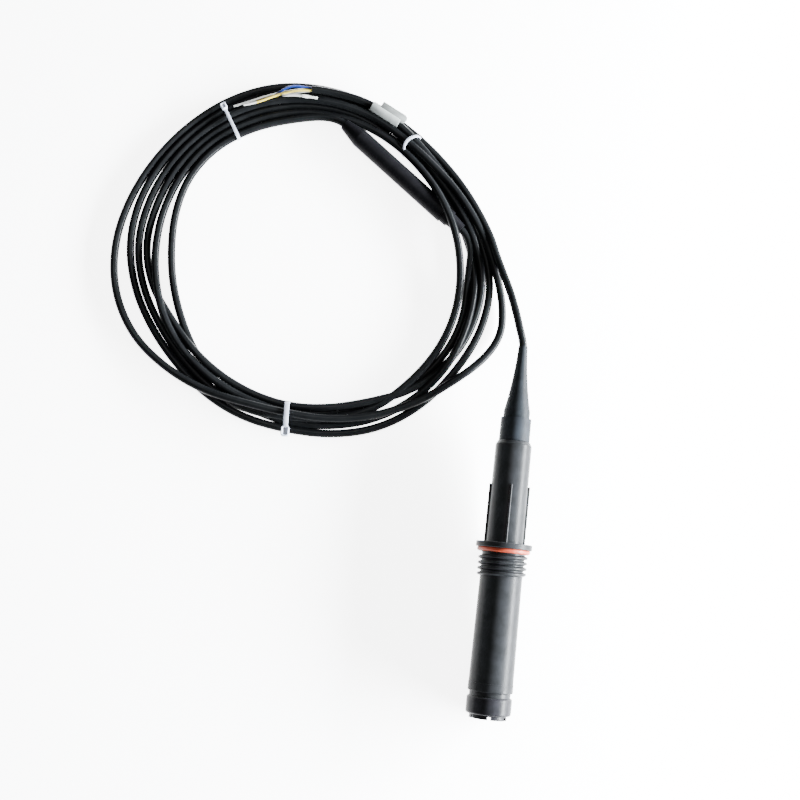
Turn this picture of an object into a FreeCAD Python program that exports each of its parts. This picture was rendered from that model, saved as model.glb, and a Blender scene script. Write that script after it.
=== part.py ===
import FreeCAD, Part
import math
import os

import Sketcher

# Optical dissolved oxygen sensor with its coiled cable. All lengths are in millimetres.
# The sensor is drawn on its own axis: z = 0 is the flange's sealing face, +z points to the cable
# and -z to the optical cap. It is then laid down on its flange and cap rims, with the cable along +Y.

os.makedirs("parts", exist_ok=True)
doc = FreeCAD.newDocument("OxygenSensor")
V = FreeCAD.Vector

# Driving dimensions, each set by itself.
DRIVING = {
    # grip
    "grip_length": 75.0,
    "grip_top_dia": 26.8,
    "grip_base_dia": 27.4,
    "shoulder_length": 2.8,
    "shoulder_dia": 23.8,
    "rib_count": 4,
    "rib_length": 42.5,
    "rib_width": 1.7,
    "rib_rise": 1.4,
    # flange, neck and thread
    "flange_dia": 41.2,
    "flange_thick": 4.0,
    "flange_edge": 0.4,
    "neck_dia": 32.0,
    "neck_length": 3.7,
    "thread_dia": 36.0,
    "thread_pitch": 4.0,
    "thread_length": 17.6,
    "thread_depth": 2.4,
    "ridge_base": 3.6,
    "ridge_crest": 2.1,
    # probe tube and bores
    "tube_length": 75.9,
    "tube_start_dia": 31.1,
    "tube_end_dia": 32.5,
    "tube_bore": 25.8,
    "grip_bore": 20.6,
    "grip_bore_start": 2.0,
    "gland_bore": 18.0,
    "gland_depth": 12.5,
    # collar, gland and strain relief
    "collar_seam": 0.4,
    "collar_length": 17.0,
    "collar_base_dia": 22.8,
    "collar_top_dia": 22.5,
    "collar_spigot": 12.2,
    "collar_hole": 6.6,
    "pocket_dia": 14.0,
    "pocket_depth": 9.0,
    "washer_thick": 1.2,
    "relief_band_length": 6.0,
    "relief_band_dia": 19.5,
    "relief_length": 48.5,
    "relief_base_dia": 19.1,
    "relief_tip_dia": 6.8,
    "relief_flare": 300.0,
    "cable_dia": 5.6,
    "inlet_depth": 11.0,
    # seals
    "flange_seal_section": 3.5,
    "seal_recess": 0.3,
    "seal_room": 0.2,
    "collar_seal_section": 1.6,
    "head_seal_section": 2.0,
    "cap_seal_section": 1.8,
    # sensor head
    "head_spigot": 14.0,
    "band_length": 6.1,
    "band_dia": 32.9,
    "band_edge": 0.5,
    "groove_length": 3.4,
    "groove_depth": 1.45,
    "cap_spigot": 8.5,
    "cap_spigot_dia": 26.6,
    "optics_bore": 18.0,
    "window_dia": 21.0,
    "window_thick": 1.5,
    # optical cap
    "cap_dia": 33.0,
    "cap_edge": 1.8,
    "cap_mouth_edge": 0.9,
    "cap_end_wall": 2.8,
    "aperture_dia": 17.0,
    "crown_height": 3.0,
    "crown_outer_dia": 27.2,
    "crown_inner_dia": 20.6,
    "notch_count": 6,
    "notch_width": 2.6,
    "notch_depth": 2.2,
    "disc_dia": 25.8,
    "disc_thick": 1.3,
    # optics and electronics
    "holder_length": 20.0,
    "lamp_dia": 3.0,
    "lamp_length": 5.5,
    "lamp_offset": 4.8,
    "detector_size": 4.0,
    "detector_thick": 1.5,
    "filter_dia": 5.8,
    "filter_thick": 1.0,
    "bead_dia": 2.4,
    "bead_length": 8.0,
    "bead_offset": 6.2,
    "board_width": 16.6,
    "board_thick": 1.6,
    "board_clearance": 14.2,
    "board_slot": 3.0,
    "controller_size": 7.0,
    "controller_thick": 1.0,
    "controller_place": 20.0,
    "transceiver_length": 5.0,
    "transceiver_width": 4.0,
    "transceiver_thick": 1.6,
    "transceiver_place": 24.0,
    "connector_length": 6.0,
    "connector_width": 9.0,
    "connector_thick": 4.5,
    "carrier_length": 6.0,
    "carrier_place": -20.0,
    "carrier_window": 5.0,
    "potting_length": 9.0,
    "lead_dia": 1.2,
    "lead_spacing": 1.9,
    # fits
    "slip_fit": 0.05,
    "running_fit": 0.1,
    "seat_gap": 0.1,
    # inline module
    "module_dia": 14.8,
    "module_length": 89.5,
    "module_wall": 1.2,
    "module_plug": 6.0,
    "module_far_length": 16.0,
    "module_far_dia": 8.6,
    "module_near_step": 6.5,
    "module_near_step_dia": 13.0,
    "module_near_length": 12.0,
    "module_near_dia": 8.6,
    "module_board_width": 9.0,
    # cable marker
    "marker_length": 21.0,
    "marker_wall": 0.8,
    "marker_flag_length": 19.5,
    "marker_flag_width": 5.8,
    "marker_flag_thick": 0.9,
    # cable ties
    "strap_width": 2.8,
    "strap_thick": 1.1,
    "tie_head_width": 5.0,
    "tie_head_depth": 4.2,
    "tie_head_height": 5.0,
    "tie_tail": 6.0,
    # coil and cores
    "coil_height": 11.4,
    "coil_edge": 2.4,
    "free_gap": 0.3,
    "core_dia": 1.5,
    "ferrule_dia": 1.9,
    "ferrule_length": 8.0,
}

# Places of the cable's pieces on the floor: centre x, centre y and angle in degrees.
MODULE_PLACE = (-104.75, 265.5, 143.0)
TIE_PLACES = {
    "cable_tie_1": {"x": -241.6, "y": 295.0, "turn": 121.8, "bundle": 30.0},
    "cable_tie_2": {"x": -101.5, "y": 292.0, "turn": 51.4, "bundle": 19.6},
    "cable_tie_3": {"x": -169.0, "y": 68.0, "turn": 268.0, "bundle": 22.4},
}
MARKER_PLACE = {"x": -121.8, "y": 311.6, "z": 8.4, "turn": -27.0, "lean": 35.0}
CUT_END = {"x": -181.9, "y": 327.5, "z": 8.4, "turn": 187.0}
POCKET = {"length": 72.0, "inner": 15.0, "outer": 12.0}

# The coil's outer and inner outlines on the floor, anticlockwise.
COIL_OUTER = [
    (-28, 205), (-43, 241), (-63, 272), (-90, 296), (-120, 315), (-154, 328), (-189, 333.5),
    (-225, 326), (-257, 308), (-304, 250), (-321, 173), (-283, 105), (-221, 69), (-155, 57),
    (-87, 73), (-30, 125.5), (-12.5, 164),
]
COIL_INNER = [
    (-56, 202), (-66, 232), (-82, 258), (-103, 280), (-128, 295), (-156, 301.5), (-185, 302),
    (-238, 281), (-271, 235), (-272.5, 179), (-254, 127), (-212, 91), (-158, 79), (-101, 92),
    (-62, 140), (-54, 170),
]

# The loose stretch from the strain relief down to the coil, after its straight start.
LEAD_ROUTE = [
    (-3.0, 156.5, 24.9),
    (-9.3, 171.5, 19.0),
    (-17.6, 191.0, 12.6),
    (-28.4, 211.2, 8.8),
]
LEAD_STRAIGHT = 9.0

# The stripped cores: each leaves the cut end square at its own place, given as across and up from
# the cable's middle, and then runs through the points that follow.
CORE_STARTS = {
    "core_blue": (-0.95, 0.95),
    "core_yellow": (0.95, 0.95),
    "core_white": (0.95, -0.95),
    "core_drain": (-0.95, -0.95),
}
CORE_STRAIGHT = 6.0
CORE_ROUTES = {
    "core_blue": [(-197.6, 326.6, 9.9), (-205.8, 323.4, 9.4), (-213.4, 318.9, 9.1)],
    "core_yellow": [
        (-198.0, 322.3, 8.8), (-211.5, 317.1, 7.5), (-223.2, 312.2, 6.8), (-234.2, 308.3, 6.7),
    ],
    "core_white": [
        (-193.6, 322.1, 6.8), (-199.4, 319.6, 6.9), (-201.8, 319.1, 12.5), (-197.8, 319.5, 17.3),
        (-192.0, 320.3, 16.7), (-186.2, 320.9, 15.3),
    ],
    "core_drain": [
        (-197.5, 325.6, 6.9), (-209.0, 321.9, 6.8), (-219.5, 317.8, 6.7), (-230.5, 312.3, 6.7),
        (-241.6, 307.4, 7.0),
    ],
}


def derived(d):
    """Stations along the axis and sizes that follow from the driving dimensions."""
    cells = {}
    cells["grip_top"] = d["flange_thick"] + d["grip_length"]
    cells["shoulder_base"] = cells["grip_top"] - d["shoulder_length"]
    cells["gland_floor"] = cells["grip_top"] - d["gland_depth"]
    cells["recess_dia"] = d["neck_dia"] + 2 * (d["flange_seal_section"] + d["seal_room"])
    cells["flange_seal_place"] = d["seal_recess"] - d["flange_seal_section"] / 2
    cells["thread_start"] = -d["neck_length"]
    cells["tube_start"] = cells["thread_start"] - d["thread_length"]
    cells["tube_end"] = cells["tube_start"] - d["tube_length"]
    cells["thread_root_dia"] = d["thread_dia"] - 2 * d["thread_depth"]
    cells["ridge_middle"] = cells["tube_start"] + d["ridge_base"] / 2
    cells["ridge_climb"] = d["thread_length"] - d["ridge_base"]
    cells["ridge_shoulder"] = d["thread_dia"] / 2 - d["ridge_crest"] / 2
    cells["collar_base"] = cells["grip_top"] + d["collar_seam"]
    cells["collar_top"] = cells["collar_base"] + d["collar_length"]
    cells["collar_foot"] = cells["collar_base"] - d["collar_spigot"]
    cells["collar_spigot_dia"] = d["gland_bore"] - 2 * d["slip_fit"]
    cells["pocket_floor"] = cells["collar_top"] - d["pocket_depth"]
    cells["collar_seal_place"] = cells["collar_base"] - d["collar_spigot"] / 2
    cells["relief_shoulder"] = cells["collar_top"] + d["relief_band_length"]
    cells["relief_tip"] = cells["relief_shoulder"] + d["relief_length"]
    cells["cable_hole"] = d["cable_dia"] + 2 * d["slip_fit"]
    cells["inlet_foot"] = cells["collar_base"] - d["inlet_depth"]
    cells["head_top"] = cells["tube_end"] + d["head_spigot"]
    cells["head_spigot_dia"] = d["tube_bore"] - 2 * d["slip_fit"]
    cells["head_seal_place"] = cells["tube_end"] + d["head_spigot"] / 2
    cells["band_end"] = cells["tube_end"] - d["band_length"]
    cells["groove_dia"] = d["band_dia"] - 2 * d["groove_depth"]
    cells["groove_end"] = cells["band_end"] - d["groove_length"]
    cells["head_end"] = cells["groove_end"] - d["cap_spigot"]
    cells["cap_seal_place"] = cells["groove_end"] - d["cap_spigot"] / 3
    cells["window_back"] = cells["head_end"] + d["window_thick"]
    cells["cap_bore"] = d["cap_spigot_dia"] + 2 * d["running_fit"]
    cells["cap_top"] = cells["groove_end"] - d["seat_gap"]
    cells["disc_back"] = cells["head_end"] - d["seat_gap"]
    cells["disc_front"] = cells["disc_back"] - d["disc_thick"]
    cells["cap_wall_back"] = cells["disc_front"] - d["seat_gap"]
    cells["cap_end"] = cells["cap_wall_back"] - d["cap_end_wall"]
    cells["crown_end"] = cells["cap_end"] - d["crown_height"]
    cells["holder_top"] = cells["window_back"] + d["holder_length"]
    cells["board_foot"] = cells["holder_top"] - d["board_slot"]
    cells["potting_foot"] = cells["gland_floor"] - d["potting_length"]
    cells["board_top"] = cells["potting_foot"] - d["board_clearance"]
    cells["board_length"] = cells["board_top"] - cells["board_foot"]
    return cells


def fill_sheet(cells):
    """Writes each size to a cell of its own, named by an alias."""
    sheet = doc.addObject("Spreadsheet::Sheet", "Dims")
    for row, (alias, value) in enumerate(cells.items(), start=1):
        sheet.set(f"A{row}", alias)
        sheet.set(f"B{row}", f"{value:.6g}")
        sheet.setAlias(f"B{row}", alias)
    doc.recompute()
    return sheet


SIZES = {**DRIVING, **derived(DRIVING)}
SHEET = fill_sheet(SIZES)


def size(alias):
    """A size as a number."""
    return float(SHEET.get(alias))


def bound(text):
    """An expression over the sheet's cells: each word is an alias."""
    words = []
    for word in text.split():
        bare = word.lstrip("-(")
        lead = word[: len(word) - len(bare)]
        words.append(lead + "Dims." + bare if bare[:1].isalpha() else word)
    return " ".join(words)


def rest_placement():
    """Lays the sensor's axis down until the flange's rim and the cap's rounded rim both touch z = 0."""
    rim, edge = size("flange_dia") / 2, size("flange_edge")
    cap, rounding = size("cap_dia") / 2, size("cap_edge")
    drop = rim - cap + rounding
    reach = -size("cap_end") - rounding + edge
    dip = math.acos(rounding / math.hypot(drop, reach)) - math.atan2(reach, drop)
    height = rim * math.cos(dip) - edge * math.sin(dip)
    far = size("relief_tip") * math.cos(dip) + size("relief_tip_dia") / 2 * math.sin(dip)
    near = size("crown_end") * math.cos(dip) - size("crown_outer_dia") / 2 * math.sin(dip)
    turn = FreeCAD.Rotation(V(1, 0, 0), -90 + math.degrees(dip))
    return FreeCAD.Placement(V(0, -(far + near) / 2, height), turn)


LAY = rest_placement()


def seated(x=0.0, y=0.0, z=0.0):
    """The sensor's resting placement with an offset in its own axes."""
    return LAY.multiply(FreeCAD.Placement(V(x, y, z), FreeCAD.Rotation()))


def plane(body, role):
    """One of a body's own origin planes or axes."""
    return [feature for feature in body.Origin.OriginFeatures if feature.Role == role][0]


def new_body(label):
    body = doc.addObject("PartDesign::Body", label)
    body.Label = label
    return body


def new_sketch(body, name, role="XZ_Plane"):
    sketch = body.newObject("Sketcher::SketchObject", name)
    sketch.AttachmentSupport = [(plane(body, role), "")]
    sketch.MapMode = "FlatFace"
    return sketch


def draw_outline(sketch, corners):
    """A closed outline of straight lines whose corners are bound to the sheet."""
    first, count = sketch.GeometryCount, len(corners)
    ring = [V(math.cos(2 * math.pi * i / count), math.sin(2 * math.pi * i / count), 0) for i in range(count)]
    for i in range(count):
        sketch.addGeometry(Part.LineSegment(ring[i], ring[(i + 1) % count]), False)
    for i in range(count):
        sketch.addConstraint(
            Sketcher.Constraint("Coincident", first + i, 2, first + (i + 1) % count, 1)
        )
    for i, (across, along) in enumerate(corners):
        hold_point(sketch, first + i, 1, across, along)


def hold_point(sketch, line, end, across, along):
    """Holds one end of a sketched line at a bound place."""
    for kind, text in (("DistanceX", across), ("DistanceY", along)):
        index = sketch.addConstraint(Sketcher.Constraint(kind, -1, 1, line, end, 1.0))
        sketch.setExpression(f"Constraints[{index}]", bound(text))


def turned(label, corners):
    """A turned piece: the section's corners are given as radius and station."""
    body = new_body(label)
    sketch = new_sketch(body, f"{label}_section")
    draw_outline(sketch, corners)
    doc.recompute()
    spin = body.newObject("PartDesign::Revolution", f"{label}_turn")
    spin.Profile = sketch
    spin.ReferenceAxis = (sketch, ["V_Axis"])
    spin.Angle = 360
    doc.recompute()
    return body


def polar(body, feature, name, count):
    """Repeats a feature round the body's axis."""
    pattern = body.newObject("PartDesign::PolarPattern", name)
    pattern.Originals = [feature]
    pattern.Axis = (plane(body, "Z_Axis"), [""])
    pattern.Angle = 360
    pattern.setExpression("Occurrences", bound(count))
    body.Tip = pattern
    doc.recompute()
    return pattern


def seal(label, seat_dia, section, place):
    """An O-ring on a seat of the given diameter."""
    ring = doc.addObject("Part::Torus", label)
    ring.Label = label
    ring.setExpression("Radius1", bound(f"( {seat_dia} + {section} ) / 2"))
    ring.setExpression("Radius2", bound(f"{section} / 2"))
    ring.Placement = seated(z=place)
    return ring


def rod(name, diameter, length, x=0.0, y=0.0, z=0.0):
    """A round bar along the sensor's axis."""
    bar = doc.addObject("Part::Cylinder", name)
    bar.Label = name
    bar.setExpression("Radius", bound(f"( {diameter} ) / 2"))
    bar.setExpression("Height", bound(length))
    bar.Placement = FreeCAD.Placement(V(x, y, z), FreeCAD.Rotation())
    return bar


def block(name, wide, deep, tall, y=0.0, z=0.0):
    """A block centred on the sensor's axis across its width, with its back face at y."""
    box = doc.addObject("Part::Box", name)
    box.Label = name
    box.setExpression("Length", bound(wide))
    box.setExpression("Width", bound(deep))
    box.setExpression("Height", bound(tall))
    doc.recompute()
    box.Placement = FreeCAD.Placement(V(-box.Length.Value / 2, y, z), FreeCAD.Rotation())
    return box


def cut(label, base, tools):
    """A piece less its tools, laid down with the sensor."""
    drill = tools[0]
    if len(tools) > 1:
        drill = doc.addObject("Part::MultiFuse", f"{label}_tools")
        drill.Shapes = tools
    result = doc.addObject("Part::Cut", label)
    result.Label = label
    result.Base = base
    result.Tool = drill
    result.Placement = LAY
    return result


def lay(piece):
    """Moves a piece drawn on the sensor's axis to where the sensor lies."""
    piece.Placement = LAY.multiply(piece.Placement)
    return piece


def main_housing():
    """Moulded housing: grip with ribs, flange, coarse thread and drafted probe tube."""
    body = turned("main_housing", [
        ("shoulder_dia / 2", "grip_top"),
        ("grip_top_dia / 2", "shoulder_base"),
        ("grip_base_dia / 2", "flange_thick"),
        ("flange_dia / 2 - flange_edge", "flange_thick"),
        ("flange_dia / 2", "flange_thick - flange_edge"),
        ("flange_dia / 2", "flange_edge"),
        ("flange_dia / 2 - flange_edge", "0"),
        ("recess_dia / 2", "0"),
        ("recess_dia / 2", "seal_recess"),
        ("neck_dia / 2", "seal_recess"),
        ("neck_dia / 2", "thread_start"),
        ("thread_root_dia / 2", "thread_start"),
        ("thread_root_dia / 2", "tube_start"),
        ("tube_start_dia / 2", "tube_start"),
        ("tube_end_dia / 2", "tube_end"),
        ("tube_bore / 2", "tube_end"),
        ("tube_bore / 2", "grip_bore_start"),
        ("grip_bore / 2", "grip_bore_start"),
        ("grip_bore / 2", "gland_floor"),
        ("gland_bore / 2", "gland_floor"),
        ("gland_bore / 2", "grip_top"),
    ])
    add_ribs(body)
    add_thread(body)
    body.Placement = LAY
    return body


def add_ribs(body):
    """Grip ribs with rounded backs, evenly spaced, standing on the flange."""
    section = new_sketch(body, "rib_section", "XY_Plane")
    section.AttachmentOffset = FreeCAD.Placement(V(0, 0, size("flange_thick") / 2), FreeCAD.Rotation())
    half = size("rib_width") / 2
    back = size("grip_base_dia") / 2 + size("rib_rise") - half
    root = size("grip_top_dia") / 2 - size("rib_rise")
    section.addGeometry(Part.LineSegment(V(-half, -back, 0), V(-half, -root, 0)), False)
    section.addGeometry(Part.LineSegment(V(-half, -root, 0), V(half, -root, 0)), False)
    section.addGeometry(Part.LineSegment(V(half, -root, 0), V(half, -back, 0)), False)
    section.addGeometry(Part.Arc(V(half, -back, 0), V(0, -back - half, 0), V(-half, -back, 0)), False)
    doc.recompute()
    rib = body.newObject("PartDesign::Pad", "rib")
    rib.Profile = section
    rib.setExpression("Length", bound("rib_length + flange_thick / 2"))
    doc.recompute()
    polar(body, rib, "ribs", "rib_count")


def add_thread(body):
    """Right-hand round thread: one ridge that climbs in a helix from the tube to the neck."""
    middle, shoulder = size("ridge_middle"), -size("ridge_shoulder")
    root, crest = size("slip_fit") * 4 - size("thread_root_dia") / 2, -size("thread_dia") / 2
    base, top = size("ridge_base") / 2, size("ridge_crest") / 2
    section = new_sketch(body, "ridge_section")
    section.addGeometry(Part.LineSegment(V(root, middle - base, 0), V(root, middle + base, 0)), False)
    section.addGeometry(Part.LineSegment(V(root, middle + base, 0), V(shoulder, middle + top, 0)), False)
    bulge = Part.Arc(V(shoulder, middle + top, 0), V(crest, middle, 0), V(shoulder, middle - top, 0))
    section.addGeometry(bulge, False)
    section.addGeometry(Part.LineSegment(V(shoulder, middle - top, 0), V(root, middle - base, 0)), False)
    doc.recompute()
    ridge = body.newObject("PartDesign::AdditiveHelix", "ridge")
    ridge.Profile = section
    ridge.ReferenceAxis = (section, ["V_Axis"])
    ridge.Mode = 0
    ridge.setExpression("Pitch", bound("thread_pitch"))
    ridge.setExpression("Height", bound("ridge_climb"))
    doc.recompute()


def collar():
    """Round collar whose spigot seats in the grip and whose pocket holds the cable gland."""
    depth = "collar_seal_section"
    body = turned("collar", [
        ("collar_hole / 2", "collar_foot"),
        ("collar_spigot_dia / 2", "collar_foot"),
        ("collar_spigot_dia / 2", f"collar_seal_place - {depth} * 0.7"),
        (f"collar_spigot_dia / 2 - {depth}", f"collar_seal_place - {depth} * 0.7"),
        (f"collar_spigot_dia / 2 - {depth}", f"collar_seal_place + {depth} * 0.7"),
        ("collar_spigot_dia / 2", f"collar_seal_place + {depth} * 0.7"),
        ("collar_spigot_dia / 2", "collar_base"),
        ("collar_base_dia / 2", "collar_base"),
        ("collar_top_dia / 2", "collar_top"),
        ("pocket_dia / 2", "collar_top"),
        ("pocket_dia / 2", "pocket_floor"),
        ("collar_hole / 2", "pocket_floor"),
    ])
    body.Placement = LAY
    return body


def gland_seal():
    """Rubber bush that grips the cable in the collar's pocket."""
    body = turned("gland_seal", [
        ("cable_hole / 2", "pocket_floor"),
        ("pocket_dia / 2 - slip_fit", "pocket_floor"),
        ("pocket_dia / 2 - slip_fit", "collar_top - washer_thick"),
        ("cable_hole / 2", "collar_top - washer_thick"),
    ])
    body.Placement = LAY
    return body


def gland_washer():
    """Washer between the bush and the strain relief."""
    body = turned("gland_washer", [
        ("cable_hole / 2", "collar_top - washer_thick"),
        ("pocket_dia / 2 - slip_fit", "collar_top - washer_thick"),
        ("pocket_dia / 2 - slip_fit", "collar_top"),
        ("cable_hole / 2", "collar_top"),
    ])
    body.Placement = LAY
    return body


def strain_relief():
    """Tapered strain relief: a short band on the collar, then a hollow flare down to the cable."""
    body = new_body("strain_relief")
    sketch = new_sketch(body, "relief_section")
    hole, tip = size("cable_hole") / 2, size("relief_tip_dia") / 2
    base, band = size("relief_base_dia") / 2, size("relief_band_dia") / 2
    foot, shoulder, end = size("collar_top"), size("relief_shoulder"), size("relief_tip")
    chord = V(tip - base, end - shoulder, 0)
    middle = V((tip + base) / 2, (end + shoulder) / 2, 0)
    inward = V(-chord.y, chord.x, 0).normalize()
    flare = size("relief_flare")
    sag = flare - math.sqrt(flare ** 2 - chord.Length ** 2 / 4)
    corners = [V(hole, end, 0), V(hole, foot, 0), V(band, foot, 0), V(band, shoulder, 0), V(base, shoulder, 0)]
    for start, stop in zip(corners, corners[1:]):
        sketch.addGeometry(Part.LineSegment(start, stop), False)
    sketch.addGeometry(Part.Arc(corners[-1], middle + inward * sag, V(tip, end, 0)), False)
    sketch.addGeometry(Part.LineSegment(V(tip, end, 0), corners[0]), False)
    doc.recompute()
    spin = body.newObject("PartDesign::Revolution", "relief_turn")
    spin.Profile = sketch
    spin.ReferenceAxis = (sketch, ["V_Axis"])
    spin.Angle = 360
    doc.recompute()
    body.Placement = LAY
    return body


def cable_inlet():
    """The cable's straight stretch inside the gland and the strain relief."""
    bar = rod("cable_inlet", "cable_dia", "relief_tip - inlet_foot", z=size("inlet_foot"))
    return lay(bar)


def sensor_head():
    """Head glued into the probe tube: band, groove, cap spigot and the bore for the optics."""
    upper, lower = "head_seal_section", "cap_seal_section"
    body = turned("sensor_head", [
        ("optics_bore / 2", "head_top"),
        ("head_spigot_dia / 2", "head_top"),
        ("head_spigot_dia / 2", f"head_seal_place + {upper} * 0.7"),
        (f"head_spigot_dia / 2 - {upper}", f"head_seal_place + {upper} * 0.7"),
        (f"head_spigot_dia / 2 - {upper}", f"head_seal_place - {upper} * 0.7"),
        ("head_spigot_dia / 2", f"head_seal_place - {upper} * 0.7"),
        ("head_spigot_dia / 2", "tube_end"),
        ("band_dia / 2", "tube_end"),
        ("band_dia / 2", "band_end + band_edge"),
        ("band_dia / 2 - band_edge", "band_end"),
        ("groove_dia / 2", "band_end"),
        ("groove_dia / 2", "groove_end"),
        ("cap_spigot_dia / 2", "groove_end"),
        ("cap_spigot_dia / 2", f"cap_seal_place + {lower} * 0.7"),
        (f"cap_spigot_dia / 2 - {lower}", f"cap_seal_place + {lower} * 0.7"),
        (f"cap_spigot_dia / 2 - {lower}", f"cap_seal_place - {lower} * 0.7"),
        ("cap_spigot_dia / 2", f"cap_seal_place - {lower} * 0.7"),
        ("cap_spigot_dia / 2", "head_end"),
        ("window_dia / 2", "head_end"),
        ("window_dia / 2", "window_back"),
        ("optics_bore / 2", "window_back"),
    ])
    body.Placement = LAY
    return body


def membrane_cap():
    """Screw-on cap: rounded rim, aperture for the membrane and a crown of guard teeth."""
    body = turned("membrane_cap", [
        ("cap_dia / 2 - cap_mouth_edge", "cap_top"),
        ("cap_dia / 2", "cap_top - cap_mouth_edge"),
        ("cap_dia / 2", "cap_end"),
        ("crown_outer_dia / 2", "cap_end"),
        ("crown_outer_dia / 2", "crown_end"),
        ("crown_inner_dia / 2", "crown_end"),
        ("crown_inner_dia / 2", "cap_end"),
        ("aperture_dia / 2", "cap_end"),
        ("aperture_dia / 2", "cap_wall_back"),
        ("cap_bore / 2", "cap_wall_back"),
        ("cap_bore / 2", "cap_top"),
    ])
    round_cap_edge(body)
    cut_crown(body)
    body.Placement = LAY
    return body


def round_cap_edge(body):
    """Rounds the cap's outer edge at its closed end."""
    turn = body.Tip
    for number, edge in enumerate(turn.Shape.Edges, start=1):
        box = edge.BoundBox
        level = abs(box.ZMax - size("cap_end")) < 1e-4 and abs(box.ZMin - box.ZMax) < 1e-4
        if level and abs(box.XMax - size("cap_dia") / 2) < 1e-3:
            rounding = body.newObject("PartDesign::Fillet", "cap_rounding")
            rounding.Base = (turn, [f"Edge{number}"])
            rounding.setExpression("Radius", bound("cap_edge"))
            doc.recompute()
            return


def cut_crown(body):
    """Slots through the crown that leave its guard teeth."""
    slot = new_sketch(body, "notch_section", "XY_Plane")
    slot.AttachmentOffset = FreeCAD.Placement(V(0, 0, size("crown_end")), FreeCAD.Rotation())
    draw_outline(slot, [
        ("-notch_width / 2", "-crown_outer_dia / 2 - 1"),
        ("notch_width / 2", "-crown_outer_dia / 2 - 1"),
        ("notch_width / 2", "-crown_inner_dia / 2 + 1"),
        ("-notch_width / 2", "-crown_inner_dia / 2 + 1"),
    ])
    doc.recompute()
    before = body.Tip.Shape.Volume
    notch = body.newObject("PartDesign::Pocket", "notch")
    notch.Profile = slot
    notch.Reversed = True
    notch.setExpression("Length", bound("notch_depth"))
    doc.recompute()
    polar(body, notch, "notches", "notch_count")
    if body.Tip.Shape.Volume >= before:
        raise RuntimeError("the crown's slots cut nothing")


def membrane_disc():
    """Disc with the oxygen-sensitive film, clamped between the head and the cap."""
    return lay(rod("membrane_disc", "disc_dia", "disc_thick", z=size("disc_front")))


def optical_window():
    """Clear window let into the end of the head."""
    return lay(rod("optical_window", "window_dia - 2 * slip_fit", "window_thick", z=size("head_end")))


def optics_holder():
    """Black block with a hole for each lamp, the detector and the bead, and a slot for the board."""
    foot = size("window_back")
    base = rod("holder_block", "optics_bore - 2 * slip_fit", "holder_length", z=foot)
    offset = size("lamp_offset")
    lamp_hole = "lamp_dia + 2 * running_fit"
    tools = [
        rod("blue_hole", lamp_hole, "lamp_length + running_fit", x=-offset, z=foot),
        rod("red_hole", lamp_hole, "lamp_length + running_fit", x=offset, z=foot),
        rod("filter_hole", "filter_dia + 2 * running_fit", "filter_thick + detector_thick", z=foot),
        rod("bead_hole", "bead_dia + 2 * running_fit", "bead_length + running_fit", y=size("bead_offset"), z=foot),
        block("board_recess", "board_width + 2 * running_fit", "board_thick + 2 * running_fit", "board_slot + 1",
              y=-size("board_thick") / 2 - size("running_fit"), z=size("board_foot")),
    ]
    return cut("optics_holder", base, tools)


def optics():
    """The two lamps, the filter, the detector and the temperature bead."""
    foot, offset = size("window_back"), size("lamp_offset")
    fitted = size("filter_thick") + foot
    detector = block("photodiode", "detector_size", "detector_size", "detector_thick",
                     y=-size("detector_size") / 2, z=fitted)
    return [
        lay(rod("blue_led", "lamp_dia", "lamp_length", x=-offset, z=foot)),
        lay(rod("red_led", "lamp_dia", "lamp_length", x=offset, z=foot)),
        lay(rod("optical_filter", "filter_dia", "filter_thick", z=foot)),
        lay(detector),
        lay(rod("temperature_sensor", "bead_dia", "bead_length", y=size("bead_offset"), z=foot)),
    ]


def electronics():
    """Circuit board with its chips and the connector for the cable's wires."""
    face, foot = size("board_thick") / 2, size("board_foot")
    top = size("board_top")
    return [
        lay(block("circuit_board", "board_width", "board_thick", "board_length", y=-face, z=foot)),
        lay(block("microcontroller", "controller_size", "controller_thick", "controller_size",
                  y=-face - size("controller_thick"), z=foot + size("controller_place"))),
        lay(block("transceiver", "transceiver_width", "transceiver_thick", "transceiver_length",
                  y=-face - size("transceiver_thick"), z=top - size("transceiver_place"))),
        lay(block("lead_connector", "connector_width", "connector_thick", "connector_length",
                  y=-face - size("connector_thick"), z=top - size("connector_length"))),
    ]


def board_carrier():
    """Disc that centres the board in the probe tube, with openings beside the board."""
    place = size("carrier_place")
    base = rod("carrier_disc", "tube_bore - 2 * slip_fit", "carrier_length", z=place)
    gap = size("running_fit")
    window = size("carrier_window")
    tools = [block("carrier_slot", "board_width + 2 * running_fit", "board_thick + 2 * running_fit",
                   "carrier_length", y=-size("board_thick") / 2 - gap, z=place)]
    for name, side in (("carrier_opening_front", -1), ("carrier_opening_back", 1)):
        centre = side * (size("board_thick") / 2 + window)
        tools.append(rod(name, "carrier_window", "carrier_length", y=centre, z=place))
    return cut("board_carrier", base, tools)


def wire_places():
    """Centres of the four wires in front of the board, beside the connector's middle."""
    half = size("lead_spacing") / 2
    return [(x * half, y * half) for x in (-1, 1) for y in (-1, 1)]


def potting_plug():
    """Resin plug under the gland, round the four wires."""
    foot = size("potting_foot")
    base = rod("potting_block", "grip_bore - 2 * slip_fit", "potting_length", z=foot)
    tools = []
    for number, (x, y) in enumerate(wire_places(), start=1):
        tools.append(rod(f"wire_hole_{number}", "lead_dia + 2 * slip_fit", "potting_length", x=x, y=y, z=foot))
    return cut("potting_plug", base, tools)


def inner_leads():
    """Four insulated wires from the board's edge to the cable's end."""
    wires = []
    for number, (x, y) in enumerate(wire_places(), start=1):
        wires.append(rod(f"wire_{number}", "lead_dia", "inlet_foot - board_top", x=x, y=y, z=size("board_top")))
    bundle = doc.addObject("Part::Compound", "inner_leads")
    bundle.Label = "inner_leads"
    bundle.Links = wires
    bundle.Placement = LAY
    return bundle


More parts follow.
